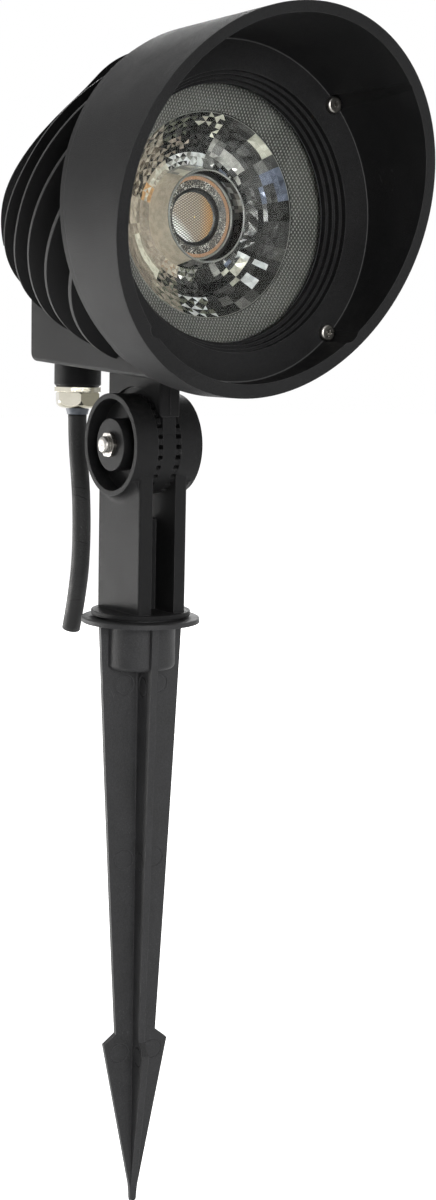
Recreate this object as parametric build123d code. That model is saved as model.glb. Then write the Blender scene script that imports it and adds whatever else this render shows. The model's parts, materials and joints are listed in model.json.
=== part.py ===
from build123d import *
import math
import os

# Garden spike spotlight, in millimetres.
# Z = 0 is the ground line, the underside of the spike's flange; the spike's axis is X = Y = 0.
# The lamp shines towards -Y, the knuckle bolt lies along X, +Z is up.

# ---- spike ----
flange_r = 21.3
flange_t = 1.8
flange_edge_r = 0.4
socket_r = 12.7
socket_depth = 16.8
socket_edge_r = 1.6
spike_depth = 223.2
spike_top_r = 15.6
spike_waist_r = 7.8
spike_waist_depth = 155.7
spike_bulge = 0.2
barb_r = 12.5
barb_drop = 3.9
barb_stagger = 1.6
tip_r = 1.05
tip_length = 6.4
spike_fin_t = 2.4
spike_core_r = 2.2
spike_turn = -10.9
ejector_r = 3.9
ejector_sink = 0.25
ejector_rim = 0.7
ejector_marks = [(6.4, 23.0), (5.8, 88.5), (6.6, 163.2)]

# ---- swivel between the spike and the yoke ----
swivel_washer_t = 0.7
swivel_washer_r = 15.4
spigot_r = 7.0
spigot_length = 13.0
bush_wall = 2.0
bush_beyond = 0.5
spigot_chamfer = 0.8
running_gap = 0.05
loose_gap = 0.3

# ---- yoke ----
base_r = 17.9
base_t = 1.9
knuckle_z = 63.7
stem_half_x = 9.75
stem_half_y = 14.6
fork_half_gap = 4.7
web_half_y = 2.2
web_drop = 26.7
stem_edge_r = 1.2
cup_r = 18.0
cup_face_x = 13.5
cup_wall = 1.8
cup_recess = 6.5
cup_boss_r = 9.2
shoulder_r = 3.4
shoulder_sink = 0.6

# ---- knuckle teeth and bolt ----
tooth_count = 30
tooth_in_r = 13.4
tooth_out_r = 17.7
tooth_share = 0.56
tooth_tip_gap = 0.2
lug_half_x = 2.65
lug_tooth_h = 0.95
bolt_r = 3.0
bolt_end_out = 3.7
bolt_head_r = 5.2
bolt_head_h = 3.3
bolt_key_af = 4.0
bolt_key_depth = 2.0
bolt_end_round = 1.1
bolt_groove_d = 0.3
bolt_groove_w = 0.35
bolt_grooves = (1.1, 1.9)
nut_af = 8.2
nut_h = 1.4
nut_turn = 30.0
knuckle_washer_r = 6.4
knuckle_washer_t = 1.0

# ---- neck that joins the lug to the housing ----
neck_half_x = 4.1
neck_half_y = 17.6
neck_start_r = 20.4
neck_edge_r = 0.8
neck_inset = 0.4
lug_gap = 0.2

# ---- lamp head, measured along its axis from the knuckle's plane (Y = 0) ----
cowl_r = 59.3
head_over_knuckle = 18.8
seam_y = -46.5
flange_step = 0.5
head_flange_t = 2.8
fin_tilt = 48.0
fin_pitch = 14.4
fin_count = 7
fin_t = 1.5
fin_last_rise = 32.8
dome_front_drop = 5.2
dome_drops = [(6.1, -20), (10.3, 0), (13.1, 10), (15.8, 20), (19.0, 30), (22.8, 40), (27.8, 50)]
top_fin_drops = [(1.3, -20), (4.2, -9), (9.5, 0.5), (14.2, 13), (18.0, 26), (22.8, 40), (27.8, 50)]
dome_rear_y = 56.4
dome_rear_drop = 31.1
dome_end_y = 59.5
core_screw_gap = 2.2
core_neck_before = 7.0
core_neck_r = 36.0
core_r = 31.0
core_body_behind = 5.0
core_behind_room = 1.0
core_end_y = 34.0
wall = 3.0

# ---- wiring block under the head ----
block_half_x = 15.5
block_rear_y = 56.4
block_over_knuckle = 28.3
block_slope = 0.055
block_corner_r = 3.4
block_edge_r = 1.4
block_rear_wall = 3.2
block_room_front_y = 28.0
block_room_h = 19.0

# ---- driver and its room ----
room_r = 26.0
room_depth = 26.0
duct_half_x = 5.0
duct_under_axis = 31.3
duct_h = 12.0
duct_lap = 3.0
driver_r = 23.5
driver_depth = 20.0
driver_wall = 1.2
driver_board_t = 1.6
driver_board_in = 5.0
driver_post_r = 1.6
driver_post_ring_r = 18.5
choke = (-8.0, 6.0, -2.0, 11.0)
choke_h = 9.0
capacitor_r = 4.2
capacitor_h = 8.5
capacitor_x = (-9.0, 1.0)
capacitor_z = -11.0
switch = (9.0, 16.0, -10.0, -2.0)
switch_h = 5.0
terminal = (9.0, 15.0, 4.0, 12.0)
terminal_h = 6.0

# ---- cowl ----
cowl_reach = 34.3
cowl_cut_slope = 0.312
cowl_back_wall = 5.0
cowl_lip_wall = 3.2
bezel_depth = 9.1
bezel_land = 9.7
bezel_rise = 3.3
bezel_steps = 4
seam_groove_w = 0.9
seam_groove_d = 1.1
cowl_screw_inset = 1.6
cowl_screw_r = 1.5
cowl_screw_head_r = 2.8
cowl_screw_head_h = 2.0
cowl_screw_length = 14.0
screw_slot_w = 0.7
screw_slot_l = 2.2
screw_slot_depth = 1.5
screw_slot_turn = 20.0
flute_r = 3.3
screw_boss_r = 3.2
screw_boss_depth = 3.0
screw_hole_spare = 0.5

# ---- glass and optic ----
gasket_t = 0.8
gasket_inset = 0.3
glass_lap = 5.3
glass_t = 3.2
glass_seat_gap = 0.4
optic_inset = 1.4
optic_flange_t = 2.0
optic_rim_w = 11.2
optic_well_r = 15.6
optic_well_depth = 8.0
optic_neck_r = 12.5
optic_neck_l = 3.0
optic_stand = 1.5
optic_pocket_r = 9.0
optic_pocket_depth = 4.6
optic_dome_h = 2.4
holder_r = 17.0
holder_wall = 4.2
holder_foot_r = 2.4
holder_foot_h = 2.0
holder_foot_ring_r = 18.6

# ---- light engine ----
engine_depth = 27.5
plate_t = 3.0
plate_r = 30.1
plate_seat_gap = 0.4
pad_t = 0.3
board_r = 22.0
board_t = 1.6
cob_half = 8.6
cob_t = 0.9
phosphor_r = 7.2
phosphor_t = 0.4
plate_screw_ring_r = 28.3
plate_screw_r = 1.0
plate_screw_head_r = 1.7
plate_screw_head_h = 1.3
plate_screw_length = 7.0
plate_screw_count = 3
lead_hole_r = 2.6
lead_hole_x = 25.0
cob_corner_r = 0.8

# ---- cable gland and cable ----
gland_inset = 9.1
gland_boss_r = 8.8
gland_boss_h = 9.5
gland_boss_chamfer = 0.9
gland_flange_af = 15.8
gland_flange_t = 1.9
gland_flange_turn = 40.0
gland_corner_cut = 0.4
gland_thread_r = 5.9
gland_thread_up = 7.5
gland_bore_r = 3.65
gland_nut_af = 15.2
gland_nut_h = 6.1
gland_nut_turn = 9.0
gland_nut_straight = 2.2
gland_nut_chamfer = 0.5
gland_nut_end_r = 5.6
gland_nut_mouth_r = 5.0
gland_overlap = 2.4
seal_top_r = 4.6
seal_out_r = 4.2
seal_end_r = 3.85
seal_out_length = 2.3
seal_gap = 0.2
tail_in_block = 8.0
cable_r = 3.5
cable_points = [
    (0.0, 47.3, 72.2),
    (0.0, 47.3, 62.0),
    (0.0, 43.9, 44.0),
    (0.0, 43.1, 25.0),
    (0.0, 45.2, 6.5),
    (0.0, 50.8, -10.3),
]

# ---- sizes and places worked out from those above ----
through = 400.0
yoke_base_z = flange_t + swivel_washer_t
spigot_low_z = flange_t - spigot_length
web_top_z = knuckle_z - web_drop
head_flange_r = cowl_r - flange_step
axis_z = knuckle_z + head_flange_r + head_over_knuckle
cowl_ledge_y = seam_y - bezel_depth
cowl_cut_y = seam_y - cowl_reach
cowl_tip_y = cowl_cut_y - cowl_cut_slope * cowl_r
cowl_ledge_r = cowl_r - cowl_back_wall
cowl_mouth_r = cowl_r - cowl_lip_wall
cowl_screw_ring_r = cowl_ledge_r - cowl_screw_inset
bezel_front_r = cowl_ledge_r - bezel_land
bezel_rear_r = bezel_front_r - bezel_rise
glass_r = bezel_rear_r + glass_lap
gasket_in_r = bezel_rear_r + gasket_inset
optic_flange_r = glass_r - optic_inset
optic_bowl_r = optic_flange_r - optic_rim_w
glass_front_y = seam_y + gasket_t
glass_back_y = glass_front_y + glass_t
optic_front_y = glass_back_y + 0.1
plate_y = seam_y + engine_depth
plate_front_y = plate_y - plate_t
board_front_y = plate_front_y - pad_t - board_t
cob_front_y = board_front_y - cob_t
optic_back_y = board_front_y - optic_stand
room_rear_y = plate_y + room_depth
driver_board_rear_y = room_rear_y - driver_wall - driver_board_in
housing_rear_flange_y = seam_y + head_flange_t
core_front_r = cowl_screw_ring_r - core_screw_gap
core_neck_y = plate_y - core_neck_before
core_body_y = plate_y + core_body_behind
core_back_y = room_rear_y + core_behind_room
dome_front_r = head_flange_r - dome_front_drop
dome_rear_r = head_flange_r - dome_rear_drop
fin_last_offset = axis_z * math.sin(math.radians(fin_tilt)) + fin_last_rise
fin_normal = Vector(0, math.cos(math.radians(fin_tilt)), math.sin(math.radians(fin_tilt)))
lug_face_x = lug_half_x + lug_tooth_h
block_rear_z = knuckle_z + block_over_knuckle
gland_y = block_rear_y - gland_inset
gland_boss_z = block_rear_z - gland_boss_h
gland_flange_z = gland_boss_z - gland_flange_t
gland_nut_z = gland_flange_z - gland_nut_h


def cyl_z(r, z0, z1, x=0.0, y=0.0):
    """Cylinder along Z between two heights."""
    return Pos(x, y, (z0 + z1) / 2) * Cylinder(r, abs(z1 - z0))


def cyl_y(r, y0, y1, x=0.0, z=0.0):
    """Cylinder along Y between two places, at height z."""
    return Pos(x, (y0 + y1) / 2, z) * (Rot(90, 0, 0) * Cylinder(r, abs(y1 - y0)))


def cyl_x(r, x0, x1, y=0.0, z=0.0):
    """Cylinder along X between two places."""
    return Pos((x0 + x1) / 2, y, z) * (Rot(0, 90, 0) * Cylinder(r, abs(x1 - x0)))


def block(x0, x1, y0, y1, z0, z1):
    """Box between two corners."""
    return Pos((x0 + x1) / 2, (y0 + y1) / 2, (z0 + z1) / 2) * Box(abs(x1 - x0), abs(y1 - y0), abs(z1 - z0))


def turned_y(points, z=0.0):
    """Solid of revolution about the line X = 0, Z = z, from (radius, y) points."""
    face = make_face(Plane.XY * Polyline(*points, close=True))
    return Pos(0, 0, z) * revolve(face, Axis.Y, 360)


def turned_z(points, x=0.0, y=0.0):
    """Solid of revolution about a vertical line, from (radius, z) points."""
    face = make_face(Plane.XZ * Polyline(*points, close=True))
    return Pos(x, y, 0) * revolve(face, Axis.Z, 360)


def hex_prism_z(af, z0, z1, x=0.0, y=0.0, turn=0.0):
    """Hexagonal prism along Z by its width across flats."""
    shape = extrude(RegularPolygon(af / 2, 6, major_radius=False), abs(z1 - z0))
    return Pos(x, y, min(z0, z1)) * (Rot(0, 0, turn) * shape)


def ring_places(count, radius, start=0.0):
    """Places round a circle, as pairs."""
    step = 2 * math.pi / count
    first = math.radians(start)
    return [(radius * math.cos(first + i * step), radius * math.sin(first + i * step)) for i in range(count)]


def one_solid(shape):
    """The single solid of a result."""
    found = shape.solids()
    return found[0] if len(found) == 1 else Compound(children=list(found))


# ---- spike ----

def spike_fin_outline(stagger):
    """Half outline of the spike's cross, in the X-Z plane."""
    barb_z = -(spike_waist_depth + barb_drop + stagger)
    tip_z = -(spike_depth - tip_length)
    top = (spike_top_r, 0)
    waist_z = -(spike_waist_depth + stagger)
    waist = (spike_waist_r, waist_z)
    mid = ((spike_top_r + spike_waist_r) / 2 + spike_bulge, waist_z / 2)
    edge = ThreePointArc(top, mid, waist)
    rest = Polyline(
        waist,
        (barb_r, barb_z),
        (tip_r * 1.5, tip_z),
        (tip_r, -spike_depth + tip_r),
        (tip_r * 0.5, -spike_depth),
        (0, -spike_depth),
        (0, 0),
        top,
    )
    return make_face(Plane.XZ * Curve(children=[edge, rest]))


def spike_fin(stagger):
    """One of the spike's four fins, with its ejector marks."""
    fin = extrude(spike_fin_outline(stagger), spike_fin_t / 2, both=True)
    for side in (-1, 1):
        for across, down in ejector_marks:
            face_y = side * spike_fin_t / 2
            mark = cyl_y(ejector_r, face_y - ejector_sink, face_y + ejector_sink, across, -down)
            middle = cyl_y(ejector_r - ejector_rim, face_y - 1, face_y + 1, across, -down)
            fin -= mark - middle
    return fin


def ground_spike():
    """Moulded spike: flange, socket, four barbed fins and a point."""
    socket = cyl_z(socket_r, -socket_depth, 0)
    socket = fillet(socket.edges().filter_by(GeomType.CIRCLE).group_by(Axis.Z)[0], socket_edge_r)
    flange = cyl_z(flange_r, 0, flange_t)
    flange = fillet(flange.edges().filter_by(GeomType.CIRCLE).group_by(Axis.Z)[-1], flange_edge_r)
    body = flange + socket
    for i in range(4):
        body += Rot(0, 0, 90 * i) * spike_fin(barb_stagger * (i % 2))
    body += Pos(0, 0, -spike_depth / 2 + 2) * Cone(tip_r * 0.9, spike_core_r, spike_depth - 4)
    body -= cyl_z(spigot_r + running_gap + bush_wall, spigot_low_z - bush_beyond, flange_t)
    return one_solid(Rot(0, 0, spike_turn) * body)


def spike_insert():
    """Brass bush moulded in the socket, for the yoke's threaded spigot."""
    low = spigot_low_z - bush_beyond
    bore_r = spigot_r + running_gap
    return cyl_z(bore_r + bush_wall, low, flange_t) - cyl_z(bore_r, low, flange_t)


def swivel_washer():
    """Friction washer between the spike's flange and the yoke's base."""
    ring = cyl_z(swivel_washer_r, flange_t, yoke_base_z)
    return ring - cyl_z(spigot_r + loose_gap, flange_t, yoke_base_z)


# ---- yoke ----

def tooth_ring(x0, x1):
    """Ring of crown teeth about the knuckle axis, between two places along X."""
    half = math.radians(180.0 / tooth_count * tooth_share)
    reach = tooth_out_r / math.cos(half) + 1
    across = reach * math.sin(half)
    up = reach * math.cos(half)
    wedge = make_face(Plane.YZ * Polyline((0, 0), (across, up), (-across, up), close=True))
    sector = Pos(min(x0, x1), 0, 0) * extrude(wedge, abs(x1 - x0))
    tooth = sector & (cyl_x(tooth_out_r, x0, x1) - cyl_x(tooth_in_r, x0, x1))
    return [Rot(360.0 / tooth_count * i, 0, 0) * tooth for i in range(tooth_count)]


def yoke_cup(side):
    """One cup of the yoke: a drum with a spanner recess round its bolt boss, and crown teeth inside."""
    outer = side * cup_face_x
    floor = side * (cup_face_x - cup_recess)
    drum = cyl_x(cup_r, side * fork_half_gap, outer)
    drum -= cyl_x(cup_r - cup_wall, floor, outer)
    drum += cyl_x(cup_boss_r, side * fork_half_gap, outer)
    return drum


def cup_shoulder():
    """Hollow fillet under one cup, where the arm's side runs out to it."""
    reach = stem_half_x + shoulder_r
    rise = cup_r + shoulder_r
    mid = (reach - shoulder_r * math.sqrt(0.5), rise - shoulder_r * math.sqrt(0.5))
    curve = ThreePointArc((stem_half_x, rise), mid, (reach, cup_r))
    low_x = stem_half_x - shoulder_sink
    low_r = cup_r - shoulder_sink
    rest = Polyline((reach, cup_r), (reach, low_r), (low_x, low_r), (low_x, rise), (stem_half_x, rise))
    ring = revolve(make_face([curve, rest]), Axis.X, 360)
    half_y = stem_half_y - stem_edge_r
    return ring & block(0, cup_face_x, -half_y, half_y, -2 * cup_r, 0)


def yoke():
    """Fork casting: base disc, two arms with a web, two toothed cups."""
    stem = block(-stem_half_x, stem_half_x, -stem_half_y, stem_half_y, yoke_base_z, knuckle_z)
    stem = fillet(stem.edges().filter_by(Axis.Z), stem_edge_r)
    stem -= block(-fork_half_gap, fork_half_gap, -through, through, web_top_z, knuckle_z + 1)
    for side in (-1, 1):
        low = yoke_base_z + base_t
        stem -= block(-fork_half_gap, fork_half_gap, side * web_half_y, side * through, low, web_top_z + 1)
    stem -= cyl_x(cup_r - cup_wall, -through, through, 0, knuckle_z)
    shoulder = Pos(0, 0, knuckle_z) * cup_shoulder()
    stem += shoulder + mirror(shoulder, Plane.YZ)
    for side in (-1, 1):
        stem += Pos(0, 0, knuckle_z) * yoke_cup(side)
        for tooth in tooth_ring(side * (lug_face_x + tooth_tip_gap), side * (fork_half_gap + 0.01)):
            stem += Pos(0, 0, knuckle_z) * tooth
    base = cyl_z(base_r, yoke_base_z, yoke_base_z + base_t)
    base = fillet(base.edges().filter_by(GeomType.CIRCLE), 0.35)
    spigot = cyl_z(spigot_r, spigot_low_z, yoke_base_z)
    spigot = chamfer(spigot.edges().filter_by(GeomType.CIRCLE).group_by(Axis.Z)[0], spigot_chamfer)
    body = stem + base + spigot
    body -= cyl_x(bolt_r + running_gap, -cup_face_x - 1, cup_face_x + 1, 0, knuckle_z)
    return one_solid(body)


def knuckle_bolt():
    """Button-head bolt through both cups and the lug."""
    head_x = cup_face_x + knuckle_washer_t
    end_x = -cup_face_x - bolt_end_out
    shank = cyl_x(bolt_r, end_x, head_x)
    shank = fillet(shank.edges().filter_by(GeomType.CIRCLE).group_by(Axis.X)[0], bolt_end_round)
    for inward in bolt_grooves:
        near = end_x + inward
        ring = cyl_x(bolt_r + 1, near, near + bolt_groove_w)
        shank -= ring - cyl_x(bolt_r - bolt_groove_d, near, near + bolt_groove_w)
    head = cyl_x(bolt_head_r, head_x, head_x + bolt_head_h)
    head = fillet(head.edges().filter_by(GeomType.CIRCLE).group_by(Axis.X)[-1], 1.5)
    key = Rot(0, 90, 0) * extrude(RegularPolygon(bolt_key_af / 2, 6, major_radius=False), bolt_key_depth + 1)
    head -= Pos(head_x + bolt_head_h - bolt_key_depth, 0, 0) * key
    return one_solid(Pos(0, 0, knuckle_z) * (shank + head))


def knuckle_nut():
    """Thin hexagon nut on the bolt's end."""
    prism = extrude(RegularPolygon(nut_af / 2, 6, major_radius=False), nut_h)
    shape = Pos(-cup_face_x - nut_h, 0, 0) * (Rot(nut_turn, 0, 0) * (Rot(0, 90, 0) * prism))
    shape &= cyl_x(nut_af / 2 * 1.09, -cup_face_x - nut_h, -cup_face_x)
    shape -= cyl_x(bolt_r + running_gap, -cup_face_x - nut_h - 1, -cup_face_x + 1)
    return one_solid(Pos(0, 0, knuckle_z) * shape)


def knuckle_washer():
    """Flat washer under the bolt's head."""
    shape = cyl_x(knuckle_washer_r, cup_face_x, cup_face_x + knuckle_washer_t, 0, knuckle_z)
    return shape - cyl_x(bolt_r + running_gap, cup_face_x - 1, cup_face_x + 4, 0, knuckle_z)


# ---- housing ----

def dome(drops):
    """Smooth outline that a cooling fin is trimmed to, about the lamp's axis."""
    front = (dome_front_r, housing_rear_flange_y - 1)
    rear = (dome_rear_r, dome_rear_y)
    side = Spline(front, *[(head_flange_r - drop, y) for drop, y in drops], rear)
    cap_mid = (dome_rear_r * 0.7, dome_rear_y + (dome_end_y - dome_rear_y) * 0.52)
    cap = ThreePointArc(rear, cap_mid, (0, dome_end_y))
    closing = Polyline((0, dome_end_y), (0, front[1]), front)
    face = make_face([side, cap, closing])
    return Pos(0, 0, axis_z) * revolve(face, Axis.Y, 360)


def leaning_slab(offset, thickness):
    """Large slab square to the fins' common normal, centred at a distance along it from the origin."""
    centre = fin_normal * offset
    return Pos(0, centre.Y, centre.Z) * (Rot(fin_tilt - 90, 0, 0) * Box(through, through, thickness))


def cooling_fins():
    """Parallel leaning fins, each trimmed to the dome."""
    shell = dome(dome_drops)
    fins = [leaning_slab(fin_last_offset, fin_t) & dome(top_fin_drops)]
    for i in range(1, fin_count):
        fins.append(leaning_slab(fin_last_offset - fin_pitch * i, fin_t) & shell)
    return fins


def core():
    """Body inside the fins: cone behind the flange, drum round the driver's room."""
    front = housing_rear_flange_y
    points = [
        (0, front),
        (core_front_r, front),
        (core_neck_r, core_neck_y),
        (core_r, core_body_y),
        (core_r, core_back_y),
        (core_r * 0.87, core_back_y + (core_end_y - core_back_y) * 0.5),
        (core_r * 0.5, core_back_y + (core_end_y - core_back_y) * 0.87),
        (0, core_end_y),
    ]
    return turned_y(points, axis_z)


def block_bottom_z(y):
    """Height of the wiring block's sloping underside."""
    return block_rear_z - (block_rear_y - y) * block_slope


def wiring_block():
    """Block under the head, with a sloping underside."""
    front = housing_rear_flange_y
    points = [
        (front, block_bottom_z(front)),
        (block_rear_y, block_rear_z),
        (block_rear_y, axis_z),
        (front, axis_z),
    ]
    face = make_face(Plane.YZ * Polyline(*points, close=True))
    shape = extrude(face, block_half_x, both=True)
    low_rear = shape.edges().filter_by(Axis.X).group_by(Axis.Y)[-1].sort_by(Axis.Z)[0]
    shape = fillet(low_rear, block_corner_r)
    uprights = shape.edges().filter_by(Axis.Z).group_by(Axis.Y)[-1]
    shape = fillet(uprights, block_edge_r)
    top = fin_last_offset - fin_pitch + fin_t / 2
    return shape - leaning_slab(top + through / 2, through)


def neck():
    """Flat neck from the block down to the lug, hollowed round the yoke's cups."""
    top = block_bottom_z(-neck_half_y) + 6
    shape = block(-neck_half_x, neck_half_x, -neck_half_y, neck_half_y, knuckle_z, top)
    shape = fillet(shape.edges().filter_by(Axis.Z), neck_edge_r)
    shape -= cyl_x(neck_start_r, -through, through, 0, knuckle_z)
    lug = cyl_x(cup_r - lug_gap, -lug_half_x, lug_half_x, 0, knuckle_z)
    stalk_y = neck_half_y - neck_inset
    stalk = block(-lug_half_x, lug_half_x, -stalk_y, stalk_y, knuckle_z, knuckle_z + neck_start_r)
    return shape + lug + stalk


def lug_teeth():
    """Crown teeth on both faces of the lug."""
    teeth = []
    for side in (-1, 1):
        for tooth in tooth_ring(side * (lug_half_x - 0.01), side * lug_face_x):
            teeth.append(Pos(0, 0, knuckle_z) * tooth)
    return teeth


def head_recess():
    """Hollow of the housing: seats of the glass, optic and light plate, and the driver's room."""
    plate_room = plate_r + plate_seat_gap
    points = [
        (0, seam_y - 1),
        (glass_r + glass_seat_gap, seam_y - 1),
        (glass_r + glass_seat_gap, glass_back_y),
        (optic_flange_r + glass_seat_gap, glass_back_y),
        (optic_flange_r + glass_seat_gap, optic_front_y + optic_flange_t),
        (optic_flange_r - 2, optic_front_y + optic_flange_t),
        (plate_room + 0.6, plate_front_y - 2),
        (plate_room, plate_front_y - 2),
        (plate_room, plate_y),
        (room_r, plate_y),
        (room_r, room_rear_y),
        (0, room_rear_y),
    ]
    hollow = turned_y(points, axis_z)
    duct_z = axis_z - duct_under_axis
    duct_y = room_rear_y - duct_lap
    hollow += block(-duct_half_x, duct_half_x, duct_y, block_room_front_y + 1, duct_z, duct_z + duct_h)
    half_x = block_half_x - wall
    rear = block_rear_y - block_rear_wall
    low = block_rear_z + wall
    hollow += block(-half_x, half_x, block_room_front_y, rear, low, low + block_room_h)
    return hollow


def cowl_screw_places():
    """X and Z of the four cowl screws."""
    return ring_places(4, cowl_screw_ring_r, 45)


def housing():
    """Die-cast head: flange, fins, core, wiring block, gland boss, neck and toothed lug in one piece."""
    body = cyl_y(head_flange_r, seam_y, housing_rear_flange_y, 0, axis_z)
    body = fillet(body.edges().filter_by(GeomType.CIRCLE).group_by(Axis.Y)[-1], 0.6)
    body += core()
    body += wiring_block()
    for fin in cooling_fins():
        body += fin
    body += neck()
    boss = cyl_z(gland_boss_r, gland_boss_z, block_rear_z + 2, 0, gland_y)
    body += chamfer(boss.edges().filter_by(GeomType.CIRCLE).group_by(Axis.Z)[0], gland_boss_chamfer)
    for x, z in cowl_screw_places():
        rear = housing_rear_flange_y + screw_boss_depth
        body += cyl_y(screw_boss_r, seam_y + 1, rear, x, axis_z + z)
    body -= head_recess()
    for x, z in cowl_screw_places():
        deep = cowl_ledge_y + cowl_screw_length + screw_hole_spare
        body -= cyl_y(cowl_screw_r + running_gap, seam_y - 1, deep, x, axis_z + z)
    for x, z in ring_places(plate_screw_count, plate_screw_ring_r, 90):
        deep = plate_front_y + plate_screw_length + screw_hole_spare
        body -= cyl_y(plate_screw_r + running_gap, plate_y - 1, deep, x, axis_z + z)
    body -= cyl_z(gland_thread_r + running_gap, gland_boss_z - 1, block_rear_z + wall + 1, 0, gland_y)
    body -= cyl_x(bolt_r + running_gap, -cup_face_x, cup_face_x, 0, knuckle_z)
    for tooth in lug_teeth():
        body += tooth
    return one_solid(body)


# ---- cowl ----

def cowl_wall_r(y):
    """Inner radius of the cowl's wall, which widens a little towards its mouth."""
    share = (y - cowl_ledge_y) / (cowl_tip_y - cowl_ledge_y)
    return cowl_ledge_r + (cowl_mouth_r - cowl_ledge_r) * share


def cowl():
    """Glare shield and bezel in one piece, cut off at a slant, longer at the top."""
    far = cowl_tip_y - 1
    points = [(bezel_rear_r, seam_y)]
    step_r = (bezel_front_r - bezel_rear_r) / (bezel_steps - 1)
    step_y = (cowl_ledge_y - seam_y) / bezel_steps
    for i in range(bezel_steps):
        points.append((bezel_rear_r + step_r * i, seam_y + step_y * (i + 1)))
        if i < bezel_steps - 1:
            points.append((bezel_rear_r + step_r * (i + 1), seam_y + step_y * (i + 1)))
    points += [
        (cowl_ledge_r, cowl_ledge_y),
        (cowl_wall_r(far), far),
        (cowl_r, far),
        (cowl_r, seam_y - seam_groove_w),
        (cowl_r - seam_groove_d, seam_y - seam_groove_w),
        (cowl_r - seam_groove_d, seam_y),
    ]
    body = turned_y(points, axis_z)
    slant = math.degrees(math.atan(cowl_cut_slope))
    slab = Pos(0, -through / 2, 0) * Box(through, through, through)
    beyond = Pos(0, cowl_cut_y, axis_z) * (Rot(slant, 0, 0) * slab)
    body -= beyond
    for x, z in cowl_screw_places():
        body -= cyl_y(flute_r, far, cowl_ledge_y, x, axis_z + z)
        body -= cyl_y(cowl_screw_r + running_gap, cowl_ledge_y - 1, seam_y + 1, x, axis_z + z)
    return one_solid(body)


def cowl_screws():
    """Four pan-head screws that hold the cowl on the housing."""
    screws = []
    for x, z in cowl_screw_places():
        tip = cowl_ledge_y + cowl_screw_length
        head = cyl_y(cowl_screw_head_r, cowl_ledge_y - cowl_screw_head_h, cowl_ledge_y, 0, 0)
        head = fillet(head.edges().filter_by(GeomType.CIRCLE).group_by(Axis.Y)[0], 0.7)
        body = head + cyl_y(cowl_screw_r, cowl_ledge_y, tip, 0, 0)
        for turn in (screw_slot_turn, screw_slot_turn + 90):
            slot = Box(screw_slot_w, 2 * screw_slot_depth, screw_slot_l)
            body -= Pos(0, cowl_ledge_y - cowl_screw_head_h, 0) * (Rot(0, turn, 0) * slot)
        screws.append(one_solid(Pos(x, 0, axis_z + z) * body))
    return Compound(children=screws)


# ---- glass and optic ----

def glass_gasket():
    """Silicone ring between the bezel and the glass."""
    ring = cyl_y(glass_r, seam_y, glass_front_y, 0, axis_z)
    return ring - cyl_y(gasket_in_r, seam_y - 1, glass_front_y + 1, 0, axis_z)


def front_glass():
    """Toughened front glass with a small edge chamfer."""
    disc = cyl_y(glass_r, glass_front_y, glass_back_y, 0, axis_z)
    return one_solid(chamfer(disc.edges().filter_by(GeomType.CIRCLE), 0.4))


def optic():
    """Clear collimating optic: rim, bowl with a central well, lens dome in the well, pocket for the emitter."""
    rim_y = optic_front_y + optic_flange_t
    well_y = optic_front_y + optic_well_depth
    pocket_y = optic_back_y - optic_pocket_depth
    points = [
        (0, well_y - optic_dome_h),
        (optic_well_r * 0.3, well_y - optic_dome_h * 0.8),
        (optic_well_r * 0.58, well_y),
        (optic_well_r - 0.6, well_y),
        (optic_well_r, optic_front_y),
        (optic_flange_r, optic_front_y),
        (optic_flange_r, rim_y),
        (optic_bowl_r, rim_y),
        (optic_bowl_r * 0.84, rim_y + (optic_back_y - rim_y) * 0.3),
        (optic_bowl_r * 0.6, rim_y + (optic_back_y - rim_y) * 0.58),
        (optic_neck_r, optic_back_y - optic_neck_l),
        (optic_neck_r, optic_back_y),
        (optic_pocket_r, optic_back_y),
        (optic_pocket_r * 0.9, pocket_y + 0.6),
        (0, pocket_y),
    ]
    return turned_y(points, axis_z)


def optic_holder():
    """Ring that centres the optic's neck on the board, with three feet."""
    ring = cyl_y(holder_r, optic_back_y - optic_neck_l + loose_gap, board_front_y, 0, axis_z)
    ring -= cyl_y(holder_r - holder_wall, optic_back_y - optic_neck_l, board_front_y + 1, 0, axis_z)
    for x, z in ring_places(3, holder_foot_ring_r, 30):
        ring += cyl_y(holder_foot_r, board_front_y - holder_foot_h, board_front_y, x, axis_z + z)
    return one_solid(ring)


# ---- light engine ----

def led_plate():
    """Aluminium plate that carries the light board and closes the driver's room."""
    disc = cyl_y(plate_r, plate_front_y, plate_y, 0, axis_z)
    for x, z in ring_places(plate_screw_count, plate_screw_ring_r, 90):
        disc -= cyl_y(plate_screw_r + 0.1, plate_front_y - 1, plate_y + 1, x, axis_z + z)
    disc -= cyl_y(lead_hole_r, plate_front_y - 1, plate_y + 1, -lead_hole_x, axis_z)
    return one_solid(disc)


def plate_screws():
    """Screws that hold the light plate."""
    screws = []
    for x, z in ring_places(plate_screw_count, plate_screw_ring_r, 90):
        top = plate_front_y - plate_screw_head_h
        body = cyl_y(plate_screw_head_r, top, plate_front_y, x, axis_z + z)
        body += cyl_y(plate_screw_r, plate_front_y, plate_front_y + plate_screw_length, x, axis_z + z)
        screws.append(one_solid(body))
    return Compound(children=screws)


def thermal_pad():
    """Heat-conducting pad between the plate and the board."""
    return cyl_y(board_r - 0.5, plate_front_y - pad_t, plate_front_y, 0, axis_z)


def led_board():
    """Round aluminium-core board."""
    return cyl_y(board_r, board_front_y, plate_front_y - pad_t, 0, axis_z)


def led_emitter():
    """Square chip-on-board package."""
    shape = block(-cob_half, cob_half, cob_front_y, board_front_y, axis_z - cob_half, axis_z + cob_half)
    return fillet(shape.edges().filter_by(Axis.Y), cob_corner_r)


def led_phosphor():
    """Yellow phosphor disc on the emitter."""
    return cyl_y(phosphor_r, cob_front_y - phosphor_t, cob_front_y, 0, axis_z)


# ---- driver ----

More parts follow.
